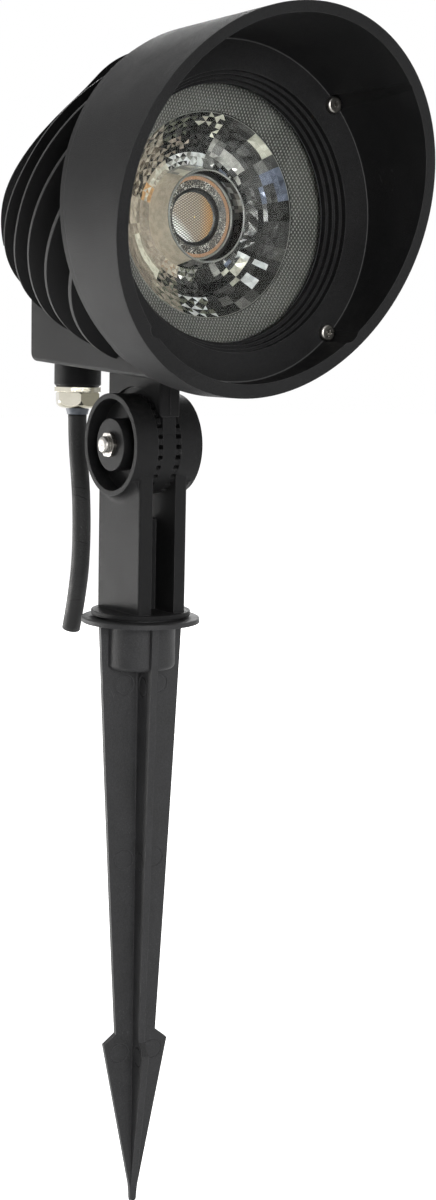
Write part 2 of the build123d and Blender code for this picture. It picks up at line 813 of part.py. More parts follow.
def driver_case():
    """Round tray that holds the driver's board at the back of its room."""
    front = room_rear_y - driver_depth
    shape = cyl_y(driver_r, front, room_rear_y, 0, axis_z)
    shape -= cyl_y(driver_r - driver_wall, front - 1, room_rear_y - driver_wall, 0, axis_z)
    for x, z in ring_places(4, driver_post_ring_r, 45):
        shape += cyl_y(driver_post_r, driver_board_rear_y, room_rear_y - driver_wall, x, axis_z + z)
    return one_solid(shape)


def driver_board():
    """Driver's round board with its choke, capacitors, switch and terminals."""
    front = driver_board_rear_y - driver_board_t
    shape = cyl_y(driver_r - driver_wall - loose_gap, front, driver_board_rear_y, 0, axis_z)
    for x in capacitor_x:
        shape += cyl_y(capacitor_r, front - capacitor_h, front, x, axis_z + capacitor_z)
    for (x0, x1, z0, z1), height in ((choke, choke_h), (switch, switch_h), (terminal, terminal_h)):
        shape += block(x0, x1, front - height, front, axis_z + z0, axis_z + z1)
    return one_solid(shape)


# ---- gland and cable ----

def gland_body():
    """Nickel-plated gland body: hexagon flange, thread up into the boss and down into the nut."""
    corner_r = gland_flange_af / math.sqrt(3) - gland_corner_cut
    top = gland_boss_z + gland_thread_up
    low = gland_flange_z - gland_overlap
    shape = hex_prism_z(gland_flange_af, gland_flange_z, gland_boss_z, 0, gland_y, gland_flange_turn)
    shape &= cyl_z(corner_r, gland_flange_z, gland_boss_z, 0, gland_y)
    shape += cyl_z(gland_thread_r, low, top, 0, gland_y)
    shape -= cyl_z(gland_bore_r, low - 1, top + 1, 0, gland_y)
    return one_solid(shape)


def gland_nut():
    """Hexagon clamping nut: straight above, domed below."""
    prism = hex_prism_z(gland_nut_af, gland_nut_z, gland_flange_z, 0, gland_y, gland_nut_turn)
    corner_r = gland_nut_af / math.sqrt(3)
    cut = gland_nut_chamfer
    dome_z = gland_flange_z - gland_nut_straight
    mid_r = gland_nut_end_r + (corner_r - gland_nut_end_r) * math.sqrt(0.5)
    mid_z = dome_z - (dome_z - gland_nut_z) * math.sqrt(0.5)
    round_off = ThreePointArc((gland_nut_end_r, gland_nut_z), (mid_r, mid_z), (corner_r, dome_z))
    rest = Polyline(
        (corner_r, dome_z),
        (corner_r, gland_flange_z - cut),
        (corner_r - cut, gland_flange_z),
        (0, gland_flange_z),
        (0, gland_nut_z),
        (gland_nut_end_r, gland_nut_z),
    )
    face = make_face(Plane.XZ * Curve(children=[round_off, rest]))
    shape = prism & (Pos(0, gland_y, 0) * revolve(face, Axis.Z, 360))
    inner_z = gland_flange_z - gland_overlap
    shape -= cyl_z(gland_thread_r + running_gap, inner_z, gland_flange_z + 1, 0, gland_y)
    shape -= cyl_z(gland_nut_mouth_r, gland_nut_z - 1, gland_flange_z, 0, gland_y)
    return one_solid(shape)


def gland_seal():
    """Rubber seal squeezed out of the nut round the cable."""
    end_z = gland_nut_z - seal_out_length
    points = [
        (cable_r, end_z),
        (seal_end_r, end_z),
        (seal_out_r, gland_nut_z - seal_out_length * 0.4),
        (seal_top_r, gland_nut_z + 0.6),
        (seal_top_r, gland_flange_z - gland_overlap - seal_gap),
        (cable_r, gland_flange_z - gland_overlap - seal_gap),
    ]
    return turned_z(points, 0, gland_y)


def cable_tail():
    """End of the cable inside the gland and the wiring block."""
    start_z = cable_points[0][2]
    return cyl_z(cable_r, start_z, block_rear_z + wall + tail_in_block, 0, gland_y)


def cable_path():
    """Straight runs joined by arcs as large as the runs allow."""
    points = [Vector(*p) for p in cable_points]
    radii = []
    for a, b, c in zip(points, points[1:], points[2:]):
        turn = math.radians((b - a).get_angle(c - b))
        shorter = min((b - a).length, (c - b).length)
        radii.append(0.45 * shorter / math.tan(turn / 2))
    print("cable arc radii:", [round(r, 1) for r in radii])
    return FilletPolyline(*points, radius=radii)


def cable():
    """Free stub of rubber cable below the gland, cut square."""
    path = cable_path()
    start = Plane(origin=path @ 0, z_dir=path % 0)
    tube = sweep(start * Circle(cable_r), path)
    print("cable length:", round(path.length, 2), "tube volume / section x length:",
          round(tube.volume / (math.pi * cable_r ** 2 * path.length), 5))
    return one_solid(tube)


PARTS = {
    "ground_spike": ground_spike,
    "spike_insert": spike_insert,
    "swivel_washer": swivel_washer,
    "yoke": yoke,
    "knuckle_bolt": knuckle_bolt,
    "knuckle_nut": knuckle_nut,
    "knuckle_washer": knuckle_washer,
    "housing": housing,
    "cowl": cowl,
    "cowl_screws": cowl_screws,
    "glass_gasket": glass_gasket,
    "front_glass": front_glass,
    "optic": optic,
    "optic_holder": optic_holder,
    "led_plate": led_plate,
    "plate_screws": plate_screws,
    "thermal_pad": thermal_pad,
    "led_board": led_board,
    "led_emitter": led_emitter,
    "led_phosphor": led_phosphor,
    "driver_case": driver_case,
    "driver_board": driver_board,
    "gland_body": gland_body,
    "gland_nut": gland_nut,
    "gland_seal": gland_seal,
    "cable_tail": cable_tail,
    "cable": cable,
}

os.makedirs("parts", exist_ok=True)
for name, make in PARTS.items():
    export_step(make(), f"parts/{name}.step")
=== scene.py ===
import bpy
import bmesh
import json
import math
import random
from mathutils import Matrix, Vector


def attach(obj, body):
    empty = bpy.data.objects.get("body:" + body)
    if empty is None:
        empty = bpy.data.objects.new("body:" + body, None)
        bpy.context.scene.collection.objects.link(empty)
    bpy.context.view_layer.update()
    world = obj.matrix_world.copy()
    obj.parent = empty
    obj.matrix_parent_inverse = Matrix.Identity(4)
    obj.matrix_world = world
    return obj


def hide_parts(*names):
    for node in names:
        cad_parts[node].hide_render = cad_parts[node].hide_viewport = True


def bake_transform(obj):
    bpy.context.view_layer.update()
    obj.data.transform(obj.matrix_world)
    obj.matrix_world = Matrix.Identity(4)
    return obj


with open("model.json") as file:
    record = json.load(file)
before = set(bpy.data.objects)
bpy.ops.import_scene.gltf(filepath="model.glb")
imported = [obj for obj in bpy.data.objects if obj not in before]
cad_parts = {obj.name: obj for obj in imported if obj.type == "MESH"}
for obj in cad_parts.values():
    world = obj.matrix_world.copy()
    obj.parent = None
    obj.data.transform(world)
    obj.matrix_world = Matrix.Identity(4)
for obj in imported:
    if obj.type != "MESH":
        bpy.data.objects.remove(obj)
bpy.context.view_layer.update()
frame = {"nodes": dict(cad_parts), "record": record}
nodes = frame["nodes"]
print("frame loaded,", len(nodes), "nodes")


# the camera stands where the photographer stood

view = {
    "place": (-0.32059, -0.51710, 0.09876),
    "right": (0.82646613, -0.56258904, 0.02114982),
    "up": (0.0656834, 0.13366605, 0.98884735),
    "ahead": (0.55914169, 0.81585964, -0.14742323),
    "lensMm": 51.09,
    "sensorMm": 36,
    "nearest": 0.01,
    "farthest": 50,
}


def addCamera():
    data = bpy.data.cameras.new("camera")
    data.lens = view["lensMm"]
    data.sensor_width = view["sensorMm"]
    data.clip_start = view["nearest"]
    data.clip_end = view["farthest"]
    camera = bpy.data.objects.new("camera", data)
    bpy.context.collection.objects.link(camera)
    r, u, f = (Vector(view[k]) for k in ("right", "up", "ahead"))
    turn = Matrix((r, u, -f)).transposed().to_4x4()
    camera.matrix_world = Matrix.Translation(view["place"]) @ turn
    bpy.context.scene.camera = camera


addCamera()
bpy.context.scene.view_settings.view_transform = "Standard"


# shader helpers

def newMaterial(name):
    material = bpy.data.materials.new(name)
    material.use_nodes = True
    tree = material.node_tree
    tree.nodes.clear()
    out = tree.nodes.new("ShaderNodeOutputMaterial")
    shader = tree.nodes.new("ShaderNodeBsdfPrincipled")
    tree.links.new(shader.outputs["BSDF"], out.inputs["Surface"])
    return material, tree, shader


def newGroup(name, inputs, outputs):
    group = bpy.data.node_groups.new(name, "ShaderNodeTree")
    for label, value in inputs:
        socket = group.interface.new_socket(label, in_out="INPUT", socket_type="NodeSocketFloat")
        socket.default_value = value
    for label, kind in outputs:
        group.interface.new_socket(label, in_out="OUTPUT", socket_type="NodeSocket" + kind)
    start = group.nodes.new("NodeGroupInput")
    end = group.nodes.new("NodeGroupOutput")
    return group, start, end


def put(tree, kind, **settings):
    node = tree.nodes.new(kind)
    for key, value in settings.items():
        if hasattr(node, key):
            setattr(node, key, value)
        else:
            node.inputs[key.replace("_", " ")].default_value = value
    return node


def join(tree, source, target):
    tree.links.new(source, target)


def math2(tree, operation, a, b=None, c=None, clamp=False):
    node = tree.nodes.new("ShaderNodeMath")
    node.operation = operation
    node.use_clamp = clamp
    for slot, value in zip(node.inputs, (a, b, c)):
        if value is None:
            continue
        if isinstance(value, (int, float)):
            slot.default_value = value
        else:
            tree.links.new(value, slot)
    return node.outputs[0]


def ramp(tree, source, low, high):
    node = tree.nodes.new("ShaderNodeMapRange")
    node.interpolation_type = "SMOOTHSTEP"
    tree.links.new(source, node.inputs["Value"])
    node.inputs["From Min"].default_value = low
    node.inputs["From Max"].default_value = high
    return node.outputs["Result"]


def mixColour(tree, factor, a, b):
    node = tree.nodes.new("ShaderNodeMix")
    node.data_type = "RGBA"
    for value, slot in ((factor, node.inputs[0]), (a, node.inputs[6]), (b, node.inputs[7])):
        if isinstance(value, (int, float)):
            slot.default_value = value
        elif isinstance(value, tuple):
            slot.default_value = (*value[:3], 1)
        else:
            tree.links.new(value, slot)
    return node.outputs[2]


def mixValue(tree, factor, a, b):
    node = tree.nodes.new("ShaderNodeMix")
    node.data_type = "FLOAT"
    for value, slot in ((factor, node.inputs[0]), (a, node.inputs[2]), (b, node.inputs[3])):
        if isinstance(value, (int, float)):
            slot.default_value = value
        else:
            tree.links.new(value, slot)
    return node.outputs[0]


def placeGroup(tree, group, **values):
    node = tree.nodes.new("ShaderNodeGroup")
    node.node_tree = group
    for key, value in values.items():
        node.inputs[key].default_value = value
    return node


def noiseOn(tree, vector, scale, detail, rough):
    node = tree.nodes.new("ShaderNodeTexNoise")
    node.inputs["Detail"].default_value = detail
    node.inputs["Roughness"].default_value = rough
    if isinstance(scale, (int, float)):
        node.inputs["Scale"].default_value = scale
    else:
        tree.links.new(scale, node.inputs["Scale"])
    tree.links.new(vector, node.inputs["Vector"])
    return node.outputs["Fac"]


# positions in metres on the object, whole and as separate X, Y and Z

def objectPlace(tree):
    return put(tree, "ShaderNodeTexCoord").outputs["Object"]


def separated(tree, vector):
    parts = put(tree, "ShaderNodeSeparateXYZ")
    join(tree, vector, parts.inputs[0])
    return parts.outputs


# effects that several finishes share: ramps are (from, to), scales are in cells per metre

effects = {
    "grainRamp": (0.3, 0.72), "patchRamp": (0.34, 0.68),
    "edgeSamples": 6, "edgeRamp": (0.012, 0.16), "edgeBreakScale": 230.0, "edgeBreakRamp": (0.36, 0.6),
    "scuffTurns": ((0.25, 0.0), (1.25, 3.1), (-0.5, 7.7)), "scuffRamp": (0.69, 0.78),
    "scuffPatchScale": 55.0, "scuffPatchRamp": (0.45, 0.7), "scuffWidthMm": 0.3, "scuffRough": 0.15,
    "dustFacing": (0.25, 1.0), "dustScale": 420.0, "dustRamp": (0.42, 0.75), "dustColour": (0.32, 0.31, 0.29),
    "dimAcross": 0.8, "dimAlong": -0.55, "dimRamp": (0.0, 0.75), "underRamp": (0.05, 0.6), "underShare": 0.8,
    # crease values: painted shade along the sheath's folds
    "creaseScale": 450.0, "creaseWander": 0.0012, "creaseSide": (0.0022, -0.0008),
    "creaseShadeColour": (0.003, 0.003, 0.003), "bumpDepth": 0.0001, "roundSamples": 4,
    "secondTone": 0.8, "secondRough": 0.08,
}


def makeGrainGroup():
    # fine pebble of a coat or a moulded skin, and slow patches of tone
    group, start, end = newGroup(
        "fineGrain", [("GrainMm", 0.4), ("PatchMm", 14.0)], [("Height", "Float"), ("Patches", "Float")])
    where = objectPlace(group)
    fineScale = math2(group, "DIVIDE", 1000.0, start.outputs["GrainMm"])
    slowScale = math2(group, "DIVIDE", 1000.0, start.outputs["PatchMm"])
    fine = noiseOn(group, where, fineScale, detail=2.0, rough=0.6)
    slow = noiseOn(group, where, slowScale, detail=3.0, rough=0.55)
    join(group, ramp(group, fine, *effects["grainRamp"]), end.inputs["Height"])
    join(group, ramp(group, slow, *effects["patchRamp"]), end.inputs["Patches"])
    return group


def makeEdgeGroup():
    # painted highlight along edges, partly also wear there, broken up a little
    group, start, end = newGroup(
        "edgeWearAndHighlight", [("WidthMm", 0.5), ("Breaks", 0.4)], [("Mask", "Float")])
    bevel = put(group, "ShaderNodeBevel", samples=effects["edgeSamples"])
    join(group, math2(group, "MULTIPLY", start.outputs["WidthMm"], 0.001), bevel.inputs["Radius"])
    flat = put(group, "ShaderNodeNewGeometry")
    dot = put(group, "ShaderNodeVectorMath", operation="DOT_PRODUCT")
    join(group, bevel.outputs["Normal"], dot.inputs[0])
    join(group, flat.outputs["Normal"], dot.inputs[1])
    turned = math2(group, "SUBTRACT", 1.0, dot.outputs["Value"])
    line = ramp(group, turned, *effects["edgeRamp"])
    noise = noiseOn(group, objectPlace(group), effects["edgeBreakScale"], detail=3.0, rough=0.6)
    breaks = ramp(group, noise, *effects["edgeBreakRamp"])
    keep = math2(group, "SUBTRACT", 1.0, math2(group, "MULTIPLY", start.outputs["Breaks"], breaks))
    join(group, math2(group, "MULTIPLY", line, keep, clamp=True), end.inputs["Mask"])
    return group


def makeScuffGroup():
    # thin rubbed streaks in three directions, kept in patches
    group, start, end = newGroup(
        "scuffs", [("LengthMm", 9.0), ("WidthMm", 0.35), ("Amount", 0.5)], [("Mask", "Float")])
    where = objectPlace(group)
    masks = []
    for turn, seed in effects["scuffTurns"]:
        mapping = put(group, "ShaderNodeMapping",
                      Rotation=(turn, turn * 0.7, turn * 1.3), Location=(seed, seed, 0))
        join(group, where, mapping.inputs["Vector"])
        parts = separated(group, mapping.outputs["Vector"])
        thin = math2(group, "DIVIDE", 1000.0, start.outputs["WidthMm"])
        long = math2(group, "DIVIDE", 1000.0, start.outputs["LengthMm"])
        merged = put(group, "ShaderNodeCombineXYZ")
        for axis, scale in (("X", thin), ("Y", thin), ("Z", long)):
            join(group, math2(group, "MULTIPLY", parts[axis], scale), merged.inputs[axis])
        streaks = noiseOn(group, merged.outputs[0], 1.0, detail=1.0, rough=0.4)
        masks.append(ramp(group, streaks, *effects["scuffRamp"]))
    total = math2(group, "MAXIMUM", masks[0], math2(group, "MAXIMUM", masks[1], masks[2]))
    noise = noiseOn(group, where, effects["scuffPatchScale"], detail=2.0, rough=0.5)
    patches = ramp(group, noise, *effects["scuffPatchRamp"])
    patched = math2(group, "MULTIPLY", total, patches)
    join(group, math2(group, "MULTIPLY", patched, start.outputs["Amount"], clamp=True), end.inputs["Mask"])
    return group


def makeDustGroup():
    # pale dust that lies on what faces up
    group, start, end = newGroup("dust", [("Amount", 0.3)], [("Mask", "Float")])
    flat = put(group, "ShaderNodeNewGeometry")
    facing = ramp(group, separated(group, flat.outputs["Normal"])["Z"], *effects["dustFacing"])
    noise = noiseOn(group, objectPlace(group), effects["dustScale"], detail=4.0, rough=0.65)
    specks = ramp(group, noise, *effects["dustRamp"])
    soft = math2(group, "MULTIPLY", facing, specks)
    join(group, math2(group, "MULTIPLY", soft, start.outputs["Amount"], clamp=True), end.inputs["Mask"])
    return group


def makeDimGroup():
    # bright metal goes dark where it faces down or away from the room's light side
    group, start, end = newGroup("dimSide", [("Amount", 0.85)], [("Mask", "Float")])
    flat = put(group, "ShaderNodeNewGeometry")
    parts = separated(group, flat.outputs["Normal"])
    across = math2(group, "MULTIPLY", parts["X"], effects["dimAcross"])
    sideways = math2(group, "MULTIPLY_ADD", parts["Y"], effects["dimAlong"], across)
    away = ramp(group, sideways, *effects["dimRamp"])
    under = ramp(group, math2(group, "MULTIPLY", parts["Z"], -1.0), *effects["underRamp"])
    either = math2(group, "MAXIMUM", away, math2(group, "MULTIPLY", under, effects["underShare"]))
    join(group, math2(group, "MULTIPLY", either, start.outputs["Amount"]), end.inputs["Mask"])
    return group


def makeCreaseShadeGroup():
    # painted shade: one dark slanting line where a tube is creased, at a height, on its -X side only
    group, start, end = newGroup(
        "crease", [("ZMm", 0.0), ("Slope", 0.3), ("AcrossMm", 0.18)], [("Mask", "Float")])
    where = objectPlace(group)
    parts = separated(group, where)
    noise = noiseOn(group, where, effects["creaseScale"], detail=2.0, rough=0.5)
    height = math2(group, "ADD", parts["Z"], math2(group, "MULTIPLY", noise, effects["creaseWander"]))
    tilted = math2(group, "MULTIPLY_ADD", parts["X"], start.outputs["Slope"], height)
    off = math2(group, "ABSOLUTE", math2(group, "MULTIPLY_ADD", start.outputs["ZMm"], -0.001, tilted))
    wide = math2(group, "MULTIPLY", start.outputs["AcrossMm"], 0.001)
    line = math2(group, "SUBTRACT", 1.0, math2(group, "DIVIDE", off, wide), clamp=True)
    side = ramp(group, parts["X"], *effects["creaseSide"])
    join(group, math2(group, "MULTIPLY", line, side), end.inputs["Mask"])
    return group


grainGroup = makeGrainGroup()
dimGroup = makeDimGroup()
creaseShadeGroup = makeCreaseShadeGroup()
edgeGroup = makeEdgeGroup()
scuffGroup = makeScuffGroup()
dustGroup = makeDustGroup()


def surface(name, look):
    # one worn, slightly uneven opaque finish, with any painted shade and edge highlights, from the values in
    # its dictionary
    material, tree, shader = newMaterial(name)
    grain = placeGroup(tree, grainGroup, GrainMm=look["grainMm"], PatchMm=look["patchMm"])
    tone = mixColour(tree, grain.outputs["Patches"], look["colour"], look["colour2"])
    rough = mixValue(tree, grain.outputs["Patches"], look["rough"], look["rough2"])
    if look.get("speckle"):
        lift = math2(tree, "MULTIPLY", grain.outputs["Height"], look["speckle"])
        tone = mixColour(tree, lift, tone, look["edgeColour"])
    if look.get("dimTo"):
        tone = mixColour(tree, placeGroup(tree, dimGroup).outputs["Mask"], tone, look["dimTo"])
    # painted shade along the creases that the look lists
    for zMm, slope, across in look.get("creases", []):
        crease = placeGroup(tree, creaseShadeGroup, ZMm=zMm, Slope=slope, AcrossMm=across)
        tone = mixColour(tree, crease.outputs["Mask"], tone, effects["creaseShadeColour"])
    if look.get("scuff"):
        scuff = placeGroup(tree, scuffGroup, LengthMm=look["scuffMm"], WidthMm=effects["scuffWidthMm"],
                           Amount=look["scuff"])
        tone = mixColour(tree, scuff.outputs["Mask"], tone, look["scuffColour"])
        rough = mixValue(tree, scuff.outputs["Mask"], rough, look["rough"] + effects["scuffRough"])
    if look.get("dust"):
        dust = placeGroup(tree, dustGroup, Amount=look["dust"])
        tone = mixColour(tree, dust.outputs["Mask"], tone, effects["dustColour"])
    # painted highlight along edges, partly also wear
    if look.get("edge"):
        edge = placeGroup(tree, edgeGroup, WidthMm=look["edgeMm"], Breaks=look["edgeBreaks"])
        share = math2(tree, "MULTIPLY", edge.outputs["Mask"], look["edge"])
        tone = mixColour(tree, share, tone, look["edgeColour"])
    join(tree, tone, shader.inputs["Base Color"])
    join(tree, rough, shader.inputs["Roughness"])
    shader.inputs["Metallic"].default_value = look.get("metallic", 0.0)
    shader.inputs["Specular IOR Level"].default_value = look.get("specular", 0.5)
    bump = put(tree, "ShaderNodeBump", Strength=look["bump"], Distance=effects["bumpDepth"])
    join(tree, grain.outputs["Height"], bump.inputs["Height"])
    rounded = put(tree, "ShaderNodeBevel", samples=effects["roundSamples"], Radius=look["roundMm"] * 0.001)
    join(tree, rounded.outputs["Normal"], bump.inputs["Normal"])
    join(tree, bump.outputs["Normal"], shader.inputs["Normal"])
    return material


# cable: rubber sheath cut off square, with three cores in its end

cable = {
    "route": [
        (0.0, 0.0473, 0.0722), (0.0, 0.0473, 0.0620), (0.0, 0.0439, 0.0440),
        (0.0, 0.0431, 0.0250), (0.0, 0.0452, 0.0065), (0.0, 0.0508, -0.0103),
    ],
    "radius": 0.0035,
    "length": 0.0837,
    "routeSteps": 16,
    "sides": 40,
    "capShare": 0.74,
    "capDepth": 0.0003,
    "cores": 3,
    "coreTurn": 0.4,
    "coreSides": 16,
    "coreRadius": 0.00105,
    "coreRing": 0.00135,
    "coreStart": 0.0012,
    "coreEnd": 0.00013,
    "strandShare": 0.6,
    "strandLift": 0.00012,
    "coreColours": {
        "coreBrown": (0.16, 0.06, 0.025), "coreBlue": (0.03, 0.12, 0.4), "coreGreen": (0.25, 0.4, 0.05),
    },
}


def ringAround(bm, centre, side, out, radius, count):
    ring = []
    for k in range(count):
        angle = 2 * math.pi * k / count
        place = centre + side * (radius * math.cos(angle)) + out * (radius * math.sin(angle))
        ring.append(bm.verts.new(place))
    return ring


def bridge(bm, low, high):
    lowNext, highNext = low[1:] + low[:1], high[1:] + high[:1]
    return [bm.faces.new(corners) for corners in zip(low, lowNext, highNext, high)]


def routePoints(name, points, resolution):
    data = bpy.data.curves.new(name, "CURVE")
    data.dimensions = "3D"
    data.resolution_u = resolution
    spline = data.splines.new("NURBS")
    spline.points.add(len(points) - 1)
    for point, place in zip(spline.points, points):
        point.co = (*place, 1)
    spline.order_u = 3
    spline.use_endpoint_u = True
    carrier = bpy.data.objects.new(name, data)
    bpy.context.collection.objects.link(carrier)
    bpy.context.view_layer.update()
    mesh = bpy.data.meshes.new_from_object(carrier)
    line = [v.co.copy() for v in mesh.vertices]
    bpy.data.meshes.remove(mesh)
    bpy.data.objects.remove(carrier)
    return line


def addCable():
    line = routePoints("cableRoute", cable["route"], cable["routeSteps"])
    side = Vector((1, 0, 0))
    bm = bmesh.new()
    rings = []
    for i, centre in enumerate(line):
        along = (line[min(i + 1, len(line) - 1)] - line[max(i - 1, 0)]).normalized()
        out = along.cross(side).normalized()
        rings.append(ringAround(bm, centre, side, out, cable["radius"], cable["sides"]))
    for a, b in zip(rings, rings[1:]):
        for face in bridge(bm, a, b):
            face.smooth = True
    bm.faces.new(rings[0])

    # the cut end is sunk a little and shows the cores with their strands
    centre = line[-1]
    along = (line[-1] - line[-2]).normalized()
    out = along.cross(side).normalized()
    capRadius = cable["radius"] * cable["capShare"]
    cap = ringAround(bm, centre - along * cable["capDepth"], side, out, capRadius, cable["sides"])
    bridge(bm, rings[-1], cap)
    bm.faces.new(list(reversed(cap)))
    strandRadius = cable["coreRadius"] * cable["strandShare"]
    for c in range(cable["cores"]):
        angle = 2 * math.pi * c / cable["cores"] + cable["coreTurn"]
        middle = centre + (side * math.cos(angle) + out * math.sin(angle)) * cable["coreRing"]
        skin = (cable["coreRadius"], 0.0, c + 1)
        copper = (strandRadius, cable["strandLift"], cable["cores"] + 1)
        for radius, lift, slot in (skin, copper):
            inside = middle - along * cable["coreStart"]
            atEnd = middle - along * (cable["coreEnd"] - lift)
            low = ringAround(bm, inside, side, out, radius, cable["coreSides"])
            high = ringAround(bm, atEnd, side, out, radius, cable["coreSides"])
            for face in bridge(bm, low, high):
                face.material_index = slot
            bm.faces.new(high).material_index = slot
    bmesh.ops.recalc_face_normals(bm, faces=bm.faces)
    mesh = bpy.data.meshes.new("cableSheath")
    bm.to_mesh(mesh)
    bm.free()
    piece = bpy.data.objects.new("cableSheath", mesh)
    bpy.context.collection.objects.link(piece)
    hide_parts("cable")
    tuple(cable["route"][0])
    [tuple(p) for p in line]
    return piece


cableSheath = addCable()
print("cable laid")


# floor, background and lamps

stage = {
    "floorZ": -0.2234,
    "floorSize": 12.0,
    "floorSquares": 8,
    "floorColour": (0.82, 0.82, 0.82),
    "floorRough": 0.9,
    "floorSpecular": 0.1,
    "floorGlow": 0.95,
    "worldColour": (1.0, 1.0, 1.0),
    "worldFill": 0.12,
}

lamps = {
    # name: place, aim, size, power, colour
    "keyLeft": ((-0.44, 0.66, -0.18), (0, 0, 0.02), (0.3, 0.2), 8.0, (1.0, 0.99, 0.97)),
    "frontFill": ((-0.35, -1.55, 0.36), (0, -0.04, 0.141), (0.8, 0.6), 21.0, (1.0, 1.0, 1.0)),
    "topSoft": ((0.1, 0.1, 1.4), (0, 0, 0.0), (0.9, 0.9), 10.0, (1.0, 1.0, 1.0)),
    "backFill": ((0.9, 1.2, 0.5), (0, 0, 0.05), (0.8, 0.6), 9.0, (1.0, 1.0, 1.0)),
}


def seenByEye(tree):
    path = tree.nodes.new("ShaderNodeLightPath")
    either = math2(tree, "MAXIMUM", path.outputs["Is Camera Ray"], path.outputs["Is Glossy Ray"])
    return math2(tree, "MAXIMUM", either, path.outputs["Is Transmission Ray"])


def addWorld():
    world = bpy.data.worlds.new("studio")
    bpy.context.scene.world = world
    world.use_nodes = True
    tree = world.node_tree
    tree.nodes.clear()
    out = tree.nodes.new("ShaderNodeOutputWorld")
    ground = put(tree, "ShaderNodeBackground")
    ground.inputs["Color"].default_value = (*stage["worldColour"], 1)
    join(tree, mixValue(tree, seenByEye(tree), stage["worldFill"], 1.0), ground.inputs["Strength"])
    join(tree, ground.outputs[0], out.inputs["Surface"])


def addFloor():
    bm = bmesh.new()
    squares = stage["floorSquares"]
    bmesh.ops.create_grid(bm, x_segments=squares, y_segments=squares, size=stage["floorSize"] / 2)
    mesh = bpy.data.meshes.new("floor")
    bm.to_mesh(mesh)
    bm.free()
    floor = bpy.data.objects.new("floor", mesh)
    floor.location = (0, 0, stage["floorZ"])
    bpy.context.collection.objects.link(floor)
    material, tree, shader = newMaterial("paleFloor")
    shader.inputs["Base Color"].default_value = (*stage["floorColour"], 1)
    shader.inputs["Roughness"].default_value = stage["floorRough"]
    shader.inputs["Specular IOR Level"].default_value = stage["floorSpecular"]
    shader.inputs["Emission Color"].default_value = (1, 1, 1, 1)
    glow = math2(tree, "MULTIPLY", seenByEye(tree), stage["floorGlow"])
    join(tree, glow, shader.inputs["Emission Strength"])
    mesh.materials.append(material)


def addLamps():
    for name, (place, aim, size, power, colour) in lamps.items():
        data = bpy.data.lights.new(name, "AREA")
        data.shape = "RECTANGLE"
        data.size, data.size_y = size
        data.energy = power
        data.color = colour
        lamp = bpy.data.objects.new(name, data)
        lamp.location = place
        lamp.rotation_euler = (Vector(aim) - Vector(place)).to_track_quat("-Z", "Y").to_euler()
        bpy.context.collection.objects.link(lamp)


addWorld()
addFloor()
addLamps()
print("stage set")


# finishes

coat = {
    "colour": (0.006, 0.006, 0.0063), "colour2": (0.009, 0.009, 0.0093), "rough": 0.42, "rough2": 0.5,
    "grainMm": 0.28, "patchMm": 22.0, "bump": 0.7, "speckle": 0.06, "specular": 0.085, "roundMm": 0.45,
    "edge": 0.45, "edgeMm": 0.4, "edgeBreaks": 0.5, "edgeColour": (0.11, 0.11, 0.11),
    "scuff": 0.35, "scuffMm": 8.0, "scuffColour": (0.07, 0.07, 0.07), "dust": 0.05,
}

spikeSkin = {
    "colour": (0.018, 0.018, 0.0185), "colour2": (0.025, 0.025, 0.026), "rough": 0.5, "rough2": 0.62,
    "grainMm": 0.6, "patchMm": 9.0, "bump": 0.35, "speckle": 0.08, "specular": 0.2, "roundMm": 0.4,
    "edge": 0.45, "edgeMm": 0.4, "edgeBreaks": 0.5, "edgeColour": (0.12, 0.12, 0.125),
    "scuff": 0.5, "scuffMm": 14.0, "scuffColour": (0.11, 0.11, 0.11), "dust": 0.05,
}

steel = {
    "colour": (0.40, 0.385, 0.36), "colour2": (0.30, 0.29, 0.275),
    "rough": 0.26, "rough2": 0.38, "metallic": 1.0, "dimTo": (0.12, 0.115, 0.10),
    "grainMm": 0.5, "patchMm": 2.5, "bump": 0.15, "roundMm": 0.25,
    "scuff": 0.4, "scuffMm": 3.0, "scuffColour": (0.32, 0.31, 0.3),
}

nickelPlate = {
    "colour": (0.66, 0.63, 0.54), "colour2": (0.58, 0.55, 0.46),
    "rough": 0.14, "rough2": 0.22, "metallic": 1.0,
    "grainMm": 0.8, "patchMm": 5.0, "bump": 0.03, "roundMm": 0.35,
    "scuff": 0.25, "scuffMm": 3.0, "scuffColour": (0.36, 0.33, 0.26), "dimTo": (0.13, 0.12, 0.08),
}

brassMetal = {
    "colour": (0.72, 0.52, 0.24), "colour2": (0.6, 0.42, 0.2), "rough": 0.25, "rough2": 0.38, "metallic": 1.0,
    "grainMm": 0.5, "patchMm": 3.0, "bump": 0.15, "roundMm": 0.2,
}

sheathRubber = {
    "colour": (0.016, 0.016, 0.016), "colour2": (0.025, 0.025, 0.025), "rough": 0.55, "rough2": 0.7,
    "grainMm": 0.35, "patchMm": 6.0, "bump": 0.3, "speckle": 0.1, "specular": 0.25, "roundMm": 0.2,
    "edgeColour": (0.2, 0.2, 0.2), "scuff": 0.9, "scuffMm": 5.0, "scuffColour": (0.10, 0.10, 0.10),
    # creases: painted shade lines in the folds, as height in mm, slope and width in mm
    "creases": [(41.2, 0.45, 0.3), (45.0, 0.2, 0.16), (24.6, 0.25, 0.16), (3.0, -0.3, 0.14)],
}

sealRubber = {
    "colour": (0.10, 0.115, 0.14), "colour2": (0.15, 0.165, 0.19), "rough": 0.5, "rough2": 0.62,
    "grainMm": 0.4, "patchMm": 2.0, "bump": 0.25, "specular": 0.4, "roundMm": 0.3,
}

plainPlastic = {
    "colour": (0.02, 0.02, 0.021), "colour2": (0.03, 0.03, 0.031), "rough": 0.45, "rough2": 0.55,
    "grainMm": 0.5, "patchMm": 8.0, "bump": 0.2, "roundMm": 0.3,
}

whitePlastic = {
    "colour": (0.78, 0.78, 0.75), "colour2": (0.7, 0.7, 0.67), "rough": 0.3, "rough2": 0.4,
    "grainMm": 0.5, "patchMm": 8.0, "bump": 0.1, "roundMm": 0.3,
}

